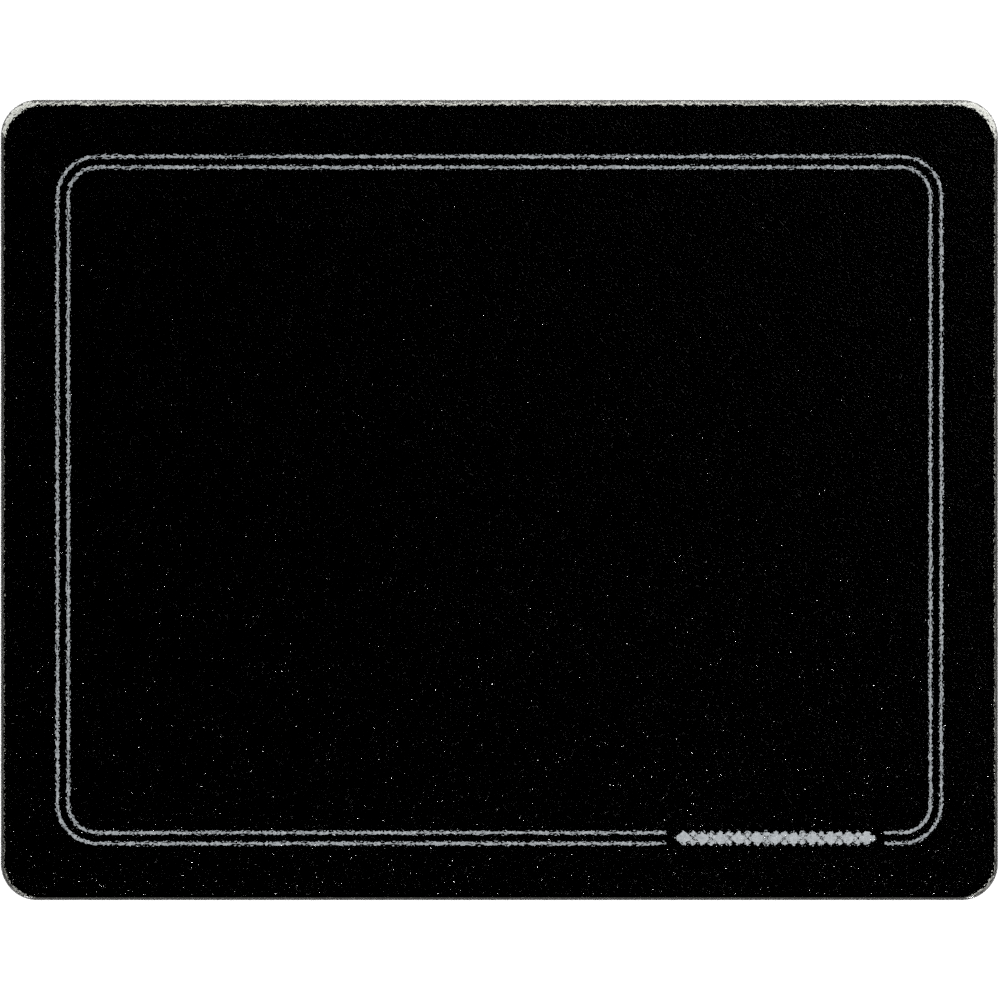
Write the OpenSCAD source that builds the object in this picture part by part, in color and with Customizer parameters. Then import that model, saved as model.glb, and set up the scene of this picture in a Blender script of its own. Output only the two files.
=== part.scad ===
// Tempered glass work board: a sheet of glass with a pebbled top, printed on its back, on four feet.
// +X is the board's right, +Y its back and +Z up. The origin is under the middle of the board,
// on the surface that the feet stand on.

/* [Glass] */
// Width of the glass, left to right
board_w = 380; // [250:1:500]
// Depth of the glass, front to back
board_d = 305; // [200:1:400]
// Thickness of the glass
glass_t = 4; // [3:0.5:6]
// Radius of the glass's corners, seen from above
corner_r = 14; // [8:0.5:30]
// How far the rounded edge stands out beyond the flat faces
edge_bulge = 1.2; // [0.6:0.1:1.4]

/* [Black coat] */
// Thickness of the black coat
coat_t = 0.2; // [0.15:0.05:0.4]
// Glass left bare along the left and right edges
margin_side = 1.2; // [1.2:0.1:4]
// Glass left bare along the back edge
margin_back = 1.8; // [1.2:0.1:4]
// Glass left bare along the front edge
margin_front = 1.2; // [1.2:0.1:4]
// Radius of the coat's two back corners
coat_r_back = 15.2; // [8:0.1:30]
// Radius of the coat's two front corners
coat_r_front = 13.1; // [8:0.1:30]

/* [White print] */
// Thickness of the white print, which lies between the glass and the black coat
print_t = 0.1; // [0.05:0.01:0.12]
// Width of each border line
line_w = 1; // [0.6:0.1:2]
// From the edge of the glass to the middle of the outer line
line_inset = 21.6; // [12:0.1:30]
// From the middle of the outer line to the middle of the inner line
line_spacing = 4.1; // [2.5:0.1:8]
// Radius of the outer line's corners, at its middle
line_r = 15.1; // [10:0.1:30]
// Length of the break in the front of both lines
break_w = 83.3; // [60:0.1:120]
// From the right side of the outer line to the break
break_inset = 21.6; // [18:0.1:40]

/* [Ornament] */
// Length of the row of lozenges in the break
ornament_w = 76.8; // [50:0.1:110]
// Height of the large lozenges
ornament_h = 5.6; // [3:0.1:7]
// Number of large lozenges
lozenges = 11; // [7:1:15]
// Gap between neighbouring large lozenges
lozenge_gap = 0.4; // [0.2:0.1:0.8]
// Size of the small lozenges, as a share of the large ones
small_share = 0.45; // [0.3:0.01:0.45]

/* [Feet] */
// Diameter of a foot
foot_d = 12.7; // [8:0.1:16]
// Height of a foot, without its adhesive
foot_h = 3.2; // [2:0.1:6]
// Radius of a foot's rounded lower rim
foot_rim = 0.8; // [0.3:0.1:1.2]
// From the edges of the glass to the middle of a foot
foot_inset = 25.4; // [16:0.1:60]
// Diameter of an adhesive disc
adhesive_d = 12; // [6:0.1:15]
// Thickness of an adhesive disc
adhesive_t = 0.2; // [0.1:0.05:0.5]

/* [Hidden] */
// Name of each foot, and which way it lies from the middle along X and Y
FEET = [
    ["front_left", -1, -1],
    ["front_right", 1, -1],
    ["back_left", -1, 1],
    ["back_right", 1, 1],
];
$fn = 96;
adhesive_z = foot_h;
coat_z = adhesive_z + adhesive_t;
glass_z = coat_z + coat_t;
print_z = glass_z - print_t;
// The rounded edge is an arc over the thickness of the glass
edge_r = (pow(glass_t / 2, 2) + pow(edge_bulge, 2)) / (2 * edge_bulge);
flat_w = board_w - 2 * edge_bulge;
flat_d = board_d - 2 * edge_bulge;
flat_r = corner_r - edge_bulge;
coat_side = board_w / 2 - margin_side;
coat_back = board_d / 2 - margin_back;
coat_front = margin_front - board_d / 2;
break_x = board_w / 2 - line_inset - break_inset - break_w / 2;
break_y = line_inset + line_spacing / 2 - board_d / 2;
lozenge_pitch = ornament_w / lozenges;
lozenge_w = lozenge_pitch - lozenge_gap;
// What cuts the flat coat or the lines reaches this far past them
past = 1;

// A rectangle with round corners, in plan
module rounded_rect(w, d, r) {
    square([w - 2 * r, d], center = true);
    square([w, d - 2 * r], center = true);
    for (x = [-1, 1], y = [-1, 1])
        translate([x * (w / 2 - r), y * (d / 2 - r)])
            circle(r = r);
}

// A lozenge with its points left, right, front and back
module lozenge(w, h) {
    polygon([[-w / 2, 0], [0, -h / 2], [w / 2, 0], [0, h / 2]]);
}

// The part of the rounded edge's arc that lies beyond the flat faces, from x = 0 outwards
module edge_segment() {
    intersection() {
        translate([edge_bulge - edge_r, glass_t / 2])
            circle(r = edge_r);
        square([edge_bulge + past, glass_t]);
    }
}

// One straight stretch of the rounded edge, centred on Y and standing out along +X
module edge_straight(length) {
    translate([0, length / 2, 0])
        rotate([90, 0, 0])
            linear_extrude(length)
                edge_segment();
}

module glass_panel() {
    color([0.80, 0.90, 0.86, 0.4])
        translate([0, 0, glass_z]) {
            linear_extrude(glass_t)
                rounded_rect(flat_w, flat_d, flat_r);
            for (a = [0, 180]) {
                rotate(a)
                    translate([flat_w / 2, 0, 0])
                        edge_straight(flat_d - 2 * flat_r);
                rotate(a + 90)
                    translate([flat_d / 2, 0, 0])
                        edge_straight(flat_w - 2 * flat_r);
            }
            for (x = [-1, 1], y = [-1, 1])
                translate([x * (flat_w / 2 - flat_r), y * (flat_d / 2 - flat_r), 0])
                    rotate(y > 0 ? 45 - 45 * x : 225 + 45 * x)
                        rotate_extrude(angle = 90)
                            translate([flat_r, 0])
                                edge_segment();
        }
}

// One border line in plan, with its middle at the given inset and corner radius, and its break
module line_outline(inset, r) {
    difference() {
        rounded_rect(board_w - 2 * inset + line_w, board_d - 2 * inset + line_w, r + line_w / 2);
        rounded_rect(board_w - 2 * inset - line_w, board_d - 2 * inset - line_w, r - line_w / 2);
        translate([break_x, break_y])
            square([break_w, line_spacing + line_w + 2 * past], center = true);
    }
}

module outer_outline() {
    line_outline(line_inset, line_r);
}

module inner_outline() {
    line_outline(line_inset + line_spacing, line_r - line_spacing);
}

// A row of large lozenges, with a pair of small ones in each gap between them
module ornament_outline() {
    first = -(lozenges - 1) / 2;
    small_y = ornament_h / 2 * (1 - small_share);
    translate([break_x, break_y])
        for (i = [0 : lozenges - 1]) {
            translate([(first + i) * lozenge_pitch, 0])
                lozenge(lozenge_w, ornament_h);
            if (i > 0)
                for (y = [-small_y, small_y])
                    translate([(first + i - 0.5) * lozenge_pitch, y])
                        lozenge(lozenge_w * small_share, ornament_h * small_share);
        }
}

module white_film() {
    color([0.66, 0.68, 0.67])
        translate([0, 0, print_z])
            linear_extrude(print_t)
                children();
}

module border_line_outer() {
    white_film()
        outer_outline();
}

module border_line_inner() {
    white_film()
        inner_outline();
}

module label_ornament() {
    white_film()
        ornament_outline();
}

// The coat in plan: its middle, its back and front strips, and its four round corners
module coat_outline() {
    translate([-coat_side, coat_front + coat_r_front])
        square([2 * coat_side, coat_back - coat_front - coat_r_back - coat_r_front]);
    translate([coat_r_back - coat_side, coat_back - coat_r_back])
        square([2 * (coat_side - coat_r_back), coat_r_back]);
    translate([coat_r_front - coat_side, coat_front])
        square([2 * (coat_side - coat_r_front), coat_r_front]);
    for (x = [-1, 1]) {
        translate([x * (coat_side - coat_r_back), coat_back - coat_r_back])
            circle(r = coat_r_back);
        translate([x * (coat_side - coat_r_front), coat_front + coat_r_front])
            circle(r = coat_r_front);
    }
}

// The black coat covers the backs and sides of the white print
module black_backing() {
    color([0.02, 0.02, 0.02])
        difference() {
            translate([0, 0, coat_z])
                linear_extrude(coat_t)
                    coat_outline();
            translate([0, 0, print_z])
                linear_extrude(print_t + past) {
                    outer_outline();
                    inner_outline();
                    ornament_outline();
                }
        }
}

// Half of a foot's outline, from its axis to its side
module foot_profile() {
    r = foot_d / 2;
    translate([0, foot_rim])
        square([r, foot_h - foot_rim]);
    square([r - foot_rim, foot_h]);
    translate([r - foot_rim, foot_rim])
        circle(r = foot_rim);
}

module at_foot(f) {
    translate([f[1] * (board_w / 2 - foot_inset), f[2] * (board_d / 2 - foot_inset), 0])
        children();
}

module foot(f) {
    color([0.12, 0.12, 0.12])
        at_foot(f)
            rotate_extrude()
                foot_profile();
}

module foot_adhesive(f) {
    color([0.85, 0.85, 0.80])
        at_foot(f)
            translate([0, 0, adhesive_z])
                cylinder(d = adhesive_d, h = adhesive_t);
}

glass_panel();
border_line_outer();
border_line_inner();
label_ornament();
black_backing();
for (f = FEET) {
    foot(f);
    foot_adhesive(f);
}
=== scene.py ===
"""A tempered glass work board with a pebbled top, printed on its back, seen from straight above.

Everything is in metres, in the CAD model's frame: +X right, +Y back, +Z up, z = 0 where the feet stand.
"""

import math

import bpy
import numpy as np
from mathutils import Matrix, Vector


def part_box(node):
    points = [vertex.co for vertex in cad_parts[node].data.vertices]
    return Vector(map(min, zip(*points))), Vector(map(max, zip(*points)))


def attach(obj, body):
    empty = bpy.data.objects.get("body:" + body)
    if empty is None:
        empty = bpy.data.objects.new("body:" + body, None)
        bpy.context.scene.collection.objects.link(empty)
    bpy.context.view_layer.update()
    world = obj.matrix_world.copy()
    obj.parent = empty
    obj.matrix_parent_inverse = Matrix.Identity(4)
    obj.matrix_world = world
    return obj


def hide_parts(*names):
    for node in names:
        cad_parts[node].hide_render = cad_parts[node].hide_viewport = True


MM = 0.001
FEET = ("front_left", "front_right", "back_left", "back_right")

# Glass: the rounded edge and the corners are as in the CAD model, the pebbles are added here
CORNER_R = 14 * MM
EDGE_BULGE = 1.2 * MM
EDGE_STEPS = 16
GLASS_IOR = 1.52
GRID_STEP = 0.5 * MM
PEBBLE_PITCH = 1.9 * MM
PEBBLE_SPREAD = (0.75, 1.5)
PEBBLE_SLOPE = 0.14
PEBBLE_WAVES = 160
PEBBLE_SEED = 11
# The finer facets on the pebbles, and the smooth strip along the front where both fade out
FACET_HEIGHT = 0.5 * MM
FACET_PITCH = 0.8 * MM
FRONT_FADE = 1.5 * MM
# The print is bonded to the glass, so the glass reaches this far down over it
BOND = 0.02 * MM

# Light below this is shown as black
BLACK_LEVEL = 0.006

# Feet: the round rims, and the shallow dish in the underside
FOOT_RIM = 0.8 * MM
FOOT_TOP_RIM = 0.25 * MM
FOOT_SEGMENTS = 96
DISH_SHARE = 0.55
DISH_DEPTH = 0.25 * MM
DISH_RIM = 0.2 * MM

# Floor and camera
FLOOR_HALF = 15
SENSOR_WIDTH = 36
LENS = 200
VIEW_MARGIN = 1.0026
VIEW_SHIFT = 0.0006

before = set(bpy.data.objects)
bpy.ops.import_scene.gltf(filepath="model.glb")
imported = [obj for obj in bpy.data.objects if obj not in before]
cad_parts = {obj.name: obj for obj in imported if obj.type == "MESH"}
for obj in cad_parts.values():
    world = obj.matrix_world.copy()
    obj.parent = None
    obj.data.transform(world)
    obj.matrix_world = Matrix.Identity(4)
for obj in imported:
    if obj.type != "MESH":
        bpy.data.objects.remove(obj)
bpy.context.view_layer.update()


# ---------------------------------------------------------------- node helpers


def new_material(name):
    """A material with nodes, its tree and its Principled node."""
    mat = bpy.data.materials.new(name)
    mat.use_nodes = True
    tree = mat.node_tree
    return mat, tree, tree.nodes["Principled BSDF"]


def add_node(tree, kind, **inputs):
    """A node with plain values on the named inputs."""
    node = tree.nodes.new(kind)
    for name, value in inputs.items():
        node.inputs[name.replace("_", " ")].default_value = value
    return node


def object_noise(tree, scale, detail=3.0, roughness=0.5):
    """Noise over the piece, with scale in features per metre."""
    coords = tree.nodes.new("ShaderNodeTexCoord")
    noise = add_node(tree, "ShaderNodeTexNoise", Scale=scale, Detail=detail, Roughness=roughness)
    tree.links.new(coords.outputs["Object"], noise.inputs["Vector"])
    return noise.outputs["Fac"]


def ramp(tree, factor, stops):
    """A colour ramp from (position, colour) stops."""
    node = tree.nodes.new("ShaderNodeValToRGB")
    elements = node.color_ramp.elements
    while len(elements) < len(stops):
        elements.new(0.5)
    for element, (position, colour) in zip(elements, stops):
        element.position = position
        element.color = (*colour, 1)
    tree.links.new(factor, node.inputs["Fac"])
    return node.outputs["Color"]


def spread(tree, factor, low, high):
    """A value that runs from low to high as factor runs from 0.3 to 0.7, where noise mostly lies."""
    node = add_node(tree, "ShaderNodeMapRange")
    node.inputs["From Min"].default_value = 0.3
    node.inputs["From Max"].default_value = 0.7
    node.inputs["To Min"].default_value = low
    node.inputs["To Max"].default_value = high
    tree.links.new(factor, node.inputs["Value"])
    return node.outputs["Result"]


def bump(tree, shader, height, distance, strength=1.0):
    """Bump of that height in metres on the shader's normal."""
    node = add_node(tree, "ShaderNodeBump", Strength=strength, Distance=distance)
    tree.links.new(height, node.inputs["Height"])
    tree.links.new(node.outputs["Normal"], shader.inputs["Normal"])


# ---------------------------------------------------------------- materials


def facets(tree):
    """Height of the facets, from 0 to 1, level along the front edge of the glass."""
    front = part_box("glass_panel")[0].y + EDGE_BULGE
    coords = tree.nodes.new("ShaderNodeTexCoord")
    split = tree.nodes.new("ShaderNodeSeparateXYZ")
    tree.links.new(coords.outputs["Object"], split.inputs["Vector"])
    fade = add_node(tree, "ShaderNodeMapRange")
    fade.inputs["From Min"].default_value = front
    fade.inputs["From Max"].default_value = front + FRONT_FADE
    tree.links.new(split.outputs["Y"], fade.inputs["Value"])
    height = tree.nodes.new("ShaderNodeMath")
    height.operation = "MULTIPLY"
    tree.links.new(object_noise(tree, 1 / FACET_PITCH, detail=0), height.inputs[0])
    tree.links.new(fade.outputs["Result"], height.inputs[1])
    return height.outputs[0]


def glass_material(name, tint, shadow_tint, roughness, clear_share, faceted):
    """Glass, clear or ground by a small share. Light on its way to the print passes straight through."""
    mat, tree, glass = new_material(name)
    glass.inputs["Base Color"].default_value = (*tint, 1)
    glass.inputs["Transmission Weight"].default_value = clear_share
    glass.inputs["Roughness"].default_value = roughness
    glass.inputs["IOR"].default_value = GLASS_IOR
    if faceted:
        bump(tree, glass, facets(tree), FACET_HEIGHT)
    else:
        bump(tree, glass, object_noise(tree, 900, detail=2), 0.004 * MM)
    clear = add_node(tree, "ShaderNodeBsdfTransparent", Color=(*shadow_tint, 1))
    path = tree.nodes.new("ShaderNodeLightPath")
    either = tree.nodes.new("ShaderNodeMath")
    either.operation = "MAXIMUM"
    mix = tree.nodes.new("ShaderNodeMixShader")
    tree.links.new(path.outputs["Is Shadow Ray"], either.inputs[0])
    tree.links.new(path.outputs["Is Diffuse Ray"], either.inputs[1])
    tree.links.new(either.outputs[0], mix.inputs[0])
    tree.links.new(glass.outputs[0], mix.inputs[1])
    tree.links.new(clear.outputs[0], mix.inputs[2])
    tree.links.new(mix.outputs[0], tree.nodes["Material Output"].inputs["Surface"])
    return mat


def enamel_material(name, dark, light, roughness, specular):
    """Screen-printed enamel: slightly uneven ink."""
    mat, tree, shader = new_material(name)
    mottle = object_noise(tree, 1100, detail=4, roughness=0.6)
    tree.links.new(ramp(tree, mottle, [(0.35, dark), (0.65, light)]), shader.inputs["Base Color"])
    tree.links.new(spread(tree, object_noise(tree, 1500), *roughness), shader.inputs["Roughness"])
    shader.inputs["Specular IOR Level"].default_value = specular
    bump(tree, shader, object_noise(tree, 2500, detail=2), 0.003 * MM)
    return mat


def rubber_material():
    """Moulded black rubber with a fine grain."""
    mat, tree, shader = new_material("foot_rubber")
    grain = object_noise(tree, 3000, detail=3)
    stops = [(0.3, (0.018, 0.018, 0.019)), (0.7, (0.030, 0.030, 0.031))]
    colour = ramp(tree, object_noise(tree, 250), stops)
    tree.links.new(colour, shader.inputs["Base Color"])
    tree.links.new(spread(tree, grain, 0.62, 0.82), shader.inputs["Roughness"])
    shader.inputs["Specular IOR Level"].default_value = 0.35
    bump(tree, shader, grain, 0.03 * MM)
    return mat


def adhesive_material():
    """Off-white acrylic adhesive film."""
    mat, tree, shader = new_material("adhesive_film")
    colour = ramp(tree, object_noise(tree, 600), [(0.3, (0.58, 0.56, 0.46)), (0.7, (0.68, 0.66, 0.56))])
    tree.links.new(colour, shader.inputs["Base Color"])
    tree.links.new(spread(tree, object_noise(tree, 1800), 0.35, 0.5), shader.inputs["Roughness"])
    bump(tree, shader, object_noise(tree, 1200), 0.01 * MM)
    return mat


def floor_material():
    """A plain pale floor."""
    mat, tree, shader = new_material("floor")
    shader.inputs["Base Color"].default_value = (0.85, 0.85, 0.85, 1)
    shader.inputs["Roughness"].default_value = 0.9
    shader.inputs["Specular IOR Level"].default_value = 0.1
    return mat


# ---------------------------------------------------------------- mesh helpers


def mesh_object(name, points, faces, materials):
    """A smooth mesh object with those material slots."""
    mesh = bpy.data.meshes.new(name)
    mesh.from_pydata(points, [], faces)
    mesh.polygons.foreach_set("use_smooth", np.ones(len(mesh.polygons), bool))
    for material in materials:
        mesh.materials.append(material)
    piece = bpy.data.objects.new(name, mesh)
    bpy.context.scene.collection.objects.link(piece)
    return piece


def ticks(half, radius, step):
    """Grid lines from -half to half, with lines where the round corners start."""
    corner = round(radius / step)
    middle = round(2 * (half - radius) / step)
    return np.concatenate([
        np.linspace(-half, radius - half, corner + 1)[:-1],
        np.linspace(radius - half, half - radius, middle + 1)[:-1],
        np.linspace(half - radius, half, corner + 1),
    ])


def round_corners(a, b, half_x, half_y, radius):
    """Bends a rectangle's points so that its square corners become quarter discs."""
    u = np.clip((np.abs(a) - (half_x - radius)) / radius, 0, 1)
    v = np.clip((np.abs(b) - (half_y - radius)) / radius, 0, 1)
    x = np.where(u > 0, half_x - radius + radius * u * np.sqrt(1 - v * v / 2), np.abs(a))
    y = np.where(v > 0, half_y - radius + radius * v * np.sqrt(1 - u * u / 2), np.abs(b))
    return np.sign(a) * x, np.sign(b) * y


def pebbles(x, y):
    """Height of the pebbled top about its mean: waves in every direction, near one wavelength."""
    rng = np.random.default_rng(PEBBLE_SEED)
    height = np.zeros_like(x)
    for wave in range(PEBBLE_WAVES):
        turn = math.pi * (wave + rng.random()) / PEBBLE_WAVES
        number = 2 * math.pi / (PEBBLE_PITCH * rng.uniform(*PEBBLE_SPREAD))
        phase = rng.uniform(0, 2 * math.pi)
        height += np.cos(number * (x * math.cos(turn) + y * math.sin(turn)) + phase)
    height *= math.sqrt(2 / PEBBLE_WAVES)
    return height * PEBBLE_SLOPE * PEBBLE_PITCH / (2 * math.pi)


def perimeter(columns, rows):
    """Indices of a grid's outer points, anticlockwise from its first point."""
    front = list(range(columns))
    right = [j * columns + columns - 1 for j in range(1, rows)]
    back = [(rows - 1) * columns + i for i in range(columns - 2, -1, -1)]
    left = [j * columns for j in range(rows - 2, 0, -1)]
    return np.array(front + right + back + left)


# ---------------------------------------------------------------- pieces


def make_glass():
    """The glass: a pebbled top, a rounded edge and a smooth underside."""
    low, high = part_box("glass_panel")
    centre = (low + high) / 2
    half_x = (high.x - low.x) / 2 - EDGE_BULGE
    half_y = (high.y - low.y) / 2 - EDGE_BULGE
    radius = CORNER_R - EDGE_BULGE
    bottom = low.z - BOND
    thickness = high.z - bottom

    columns_at = ticks(half_x, radius, GRID_STEP)
    rows_at = ticks(half_y, radius, GRID_STEP)
    columns, rows = len(columns_at), len(rows_at)
    a, b = np.meshgrid(columns_at, rows_at)
    x, y = round_corners(a.ravel(), b.ravel(), half_x, half_y, radius)
    height = pebbles(x, y) * np.clip((y + half_y) / FRONT_FADE, 0, 1)
    mean_top = high.z - height.max()
    top = np.column_stack([x + centre.x, y + centre.y, mean_top + height])

    # Rings of the rounded edge, from just under the top's outline down to the underside's outline
    rim = perimeter(columns, rows)
    flat = np.column_stack([x, y])[rim]
    inner = np.clip(flat, [radius - half_x, radius - half_y], [half_x - radius, half_y - radius])
    outward = (flat - inner) / radius
    edge_r = ((thickness / 2) ** 2 + EDGE_BULGE**2) / (2 * EDGE_BULGE)
    half_turn = math.asin(thickness / 2 / edge_r)
    rings = []
    for step in range(1, EDGE_STEPS + 1):
        turn = half_turn * (1 - 2 * step / EDGE_STEPS)
        reach = EDGE_BULGE - edge_r + edge_r * math.cos(turn)
        level = bottom + thickness / 2 + edge_r * math.sin(turn)
        fade = max(0, 1 - 3 * step / EDGE_STEPS) ** 2
        drop = (mean_top + height[rim] - high.z) * fade
        plan = flat + outward * reach + [centre.x, centre.y]
        rings.append(np.column_stack([plan, level + drop]))
    points = np.concatenate([top, *rings])

    loops = [rim] + [len(top) + step * len(rim) + np.arange(len(rim)) for step in range(EDGE_STEPS)]
    cell = (np.arange(rows - 1)[:, None] * columns + np.arange(columns - 1)).ravel()
    faces = np.column_stack([cell, cell + 1, cell + columns + 1, cell + columns]).tolist()
    top_faces = len(faces)
    for upper, lower in zip(loops[:-1], loops[1:]):
        faces += np.column_stack([lower, np.roll(lower, -1), np.roll(upper, -1), upper]).tolist()
    edge_faces = len(faces)

    # The underside in strips from front to back, with every point of the outline in one of them
    under = loops[-1].tolist()
    back_start = columns + rows - 2
    front = under[:columns]
    back = under[back_start : back_start + columns][::-1]
    left = under[back_start + columns - 1 :]
    right = under[columns - 1 : back_start + 1]
    for i in range(1, columns - 2):
        faces.append([front[i + 1], front[i], back[i], back[i + 1]])
    faces.append([front[1], front[0], *left[:0:-1], back[0], back[1]])
    faces.append([front[-2], back[-2], *right[::-1]])

    piece = mesh_object("glass_panel_pebbled", points.tolist(), faces, [
        glass_material("pebbled_glass", (0.90, 0.895, 0.85), (0.84, 0.85, 0.845), 0.14, 1.0, True),
        glass_material("edge_glass", (0.90, 0.89, 0.84), (0.60, 0.61, 0.58), 0.12, 0.96, False),
    ])
    mesh = piece.data
    slot = np.zeros(len(mesh.polygons), np.int32)
    slot[top_faces:edge_faces] = 1
    mesh.polygons.foreach_set("material_index", slot)
    on_rim = np.zeros((2, len(points)), bool)
    on_rim[0, loops[0]] = True
    on_rim[1, loops[-1]] = True
    ends = np.empty(len(mesh.edges) * 2, np.int32)
    mesh.edges.foreach_get("vertices", ends)
    ends = ends.reshape(-1, 2)
    mesh.edges.foreach_set("use_edge_sharp", on_rim[:, ends].all(axis=2).any(axis=0))
    mesh.update()
    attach(piece, "root")
    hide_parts("glass_panel")
    return piece


def arc(cx, cz, radius, start, end, steps):
    """Points on an arc in a profile, by angle in degrees."""
    turns = [math.radians(start + (end - start) * i / steps) for i in range(steps + 1)]
    return [(cx + radius * math.cos(t), cz + radius * math.sin(t)) for t in turns]


def make_foot(name, material):
    """A moulded rubber foot: a drum with round rims and a shallow dish under it."""
    low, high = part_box("foot_" + name)
    centre = (low + high) / 2
    radius = (high.x - low.x) / 2
    height = high.z - low.z
    dish_r = DISH_SHARE * radius
    profile = [(0, DISH_DEPTH), (dish_r - DISH_RIM, DISH_DEPTH)]
    profile += arc(dish_r + DISH_RIM, DISH_RIM, DISH_RIM, 180, 270, 4)[1:]
    profile += arc(radius - FOOT_RIM, FOOT_RIM, FOOT_RIM, -90, 0, 10)
    profile += arc(radius - FOOT_TOP_RIM, height - FOOT_TOP_RIM, FOOT_TOP_RIM, 0, 90, 5)
    profile += [(0, height)]
    points = [(centre.x, centre.y, low.z + profile[0][1])]
    faces = []
    for r, z in profile[1:-1]:
        for i in range(FOOT_SEGMENTS):
            turn = 2 * math.pi * i / FOOT_SEGMENTS
            points.append((centre.x + r * math.cos(turn), centre.y + r * math.sin(turn), low.z + z))
    points.append((centre.x, centre.y, high.z))
    rings = len(profile) - 2
    for i in range(FOOT_SEGMENTS):
        j = (i + 1) % FOOT_SEGMENTS
        faces.append([0, 1 + j, 1 + i])
        for ring in range(rings - 1):
            here, above = 1 + ring * FOOT_SEGMENTS, 1 + (ring + 1) * FOOT_SEGMENTS
            faces.append([here + i, here + j, above + j, above + i])
        last = 1 + (rings - 1) * FOOT_SEGMENTS
        faces.append([last + i, last + j, len(points) - 1])
    piece = mesh_object("rubber_foot_" + name, points, faces, [material])
    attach(piece, "root")
    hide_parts("foot_" + name)
    return piece


def paint(node, material):
    """Gives a CAD piece that keeps its shape a finished material."""
    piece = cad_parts[node]
    piece.data.materials.clear()
    piece.data.materials.append(material)


make_glass()
rubber = rubber_material()
adhesive = adhesive_material()
for foot in FEET:
    make_foot(foot, rubber)
    paint("foot_adhesive_" + foot, adhesive)
white = enamel_material("white_enamel", (0.17, 0.184, 0.20), (0.39, 0.408, 0.435), (0.4, 0.55), 0.2)
bold = enamel_material("white_enamel_bold", (0.24, 0.257, 0.277), (0.455, 0.473, 0.505), (0.4, 0.55), 0.2)
black = enamel_material("black_enamel", (0.0004,) * 3, (0.0009, 0.0009, 0.0011), (0.42, 0.6), 0.05)
for line in ("border_line_outer", "border_line_inner"):
    paint(line, white)
paint("label_ornament", bold)
paint("black_backing", black)


# ---------------------------------------------------------------- floor, light and camera


def make_floor():
    """A flat square, wide enough to fill every view."""
    half = FLOOR_HALF
    corners = [(-half, -half, 0), (half, -half, 0), (half, half, 0), (-half, half, 0)]
    floor = mesh_object("floor", corners, [[0, 1, 2, 3]], [floor_material()])


def area_light(name, place, size, radiance):
    """A square soft light that points at the middle of the board."""
    data = bpy.data.lights.new(name, "AREA")
    data.shape = "SQUARE"
    data.size = size
    data.energy = radiance * math.pi * size * size
    light = bpy.data.objects.new(name, data)
    light.location = place
    toward = -light.location
    light.rotation_euler = toward.to_track_quat("-Z", "Y").to_euler()
    light.visible_camera = False
    bpy.context.scene.collection.objects.link(light)
    return light


def make_lights():
    """A soft light overhead and one beside it, two small lamps for the glints, and a window."""
    # Light from straight above, which casts no shadow beyond the board and no glint
    data = bpy.data.lights.new("overhead", "SUN")
    data.energy = 4.0
    data.angle = math.radians(6)
    overhead = bpy.data.objects.new("overhead", data)
    overhead.visible_glossy = False
    overhead.visible_transmission = False
    bpy.context.scene.collection.objects.link(overhead)
    # A soft box behind and to the right, which also casts no glint
    side = area_light("side", (0.55, 0.35, 0.40), 0.3, 4)
    side.visible_glossy = False
    side.visible_transmission = False
    # Two small lamps in front, beyond the sides of the board, which the pebbles mirror as glints
    area_light("glint_right", (0.34, -0.62, 0.20), 0.10, 52)
    area_light("glint_left", (-0.34, -0.62, 0.20), 0.10, 34)
    # A dim window behind and to the right
    area_light("window", (0.75, 0.70, 0.8), 0.9, 0.35)


def make_world():
    """A room that is pale round the horizon and dark overhead."""
    world = bpy.data.worlds.new("room")
    bpy.context.scene.world = world
    world.use_nodes = True
    tree = world.node_tree
    sky = tree.nodes["Background"]
    coords = tree.nodes.new("ShaderNodeTexCoord")
    split = tree.nodes.new("ShaderNodeSeparateXYZ")
    tree.links.new(coords.outputs["Generated"], split.inputs["Vector"])
    wall, dark = (0.32,) * 3, (0.0,) * 3
    edge_low, edge_high = math.sin(math.radians(22)), math.sin(math.radians(36))
    around = ramp(tree, split.outputs["Z"], [(edge_low, wall), (edge_high, dark)])
    tree.links.new(around, sky.inputs["Color"])
    backdrop = add_node(tree, "ShaderNodeBackground", Color=(1, 1, 1, 1))
    path = tree.nodes.new("ShaderNodeLightPath")
    mix = tree.nodes.new("ShaderNodeMixShader")
    tree.links.new(path.outputs["Is Camera Ray"], mix.inputs[0])
    tree.links.new(sky.outputs[0], mix.inputs[1])
    tree.links.new(backdrop.outputs[0], mix.inputs[2])
    tree.links.new(mix.outputs[0], tree.nodes["World Output"].inputs["Surface"])


def make_camera():
    """Straight above the board, which fills the width of the frame."""
    low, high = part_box("glass_panel")
    seen_width = VIEW_MARGIN * (high.x - low.x)
    data = bpy.data.cameras.new("camera")
    data.sensor_width = SENSOR_WIDTH
    data.lens = LENS
    camera = bpy.data.objects.new("camera", data)
    distance = seen_width * LENS / SENSOR_WIDTH
    camera.location = (VIEW_SHIFT * seen_width, 0, (low.z + high.z) / 2 + distance)
    bpy.context.scene.collection.objects.link(camera)
    bpy.context.scene.camera = camera


make_floor()
make_lights()
make_world()
make_camera()

# Plain colour, with the deepest blacks cut off as in a product photo
view = bpy.context.scene.view_settings
view.view_transform = "Standard"
view.use_curve_mapping = True
view.curve_mapping.black_level = (BLACK_LEVEL,) * 3
view.curve_mapping.update()
# The glints are smaller than a pixel, and the denoiser would wipe them out
bpy.context.scene.cycles.use_denoising = False
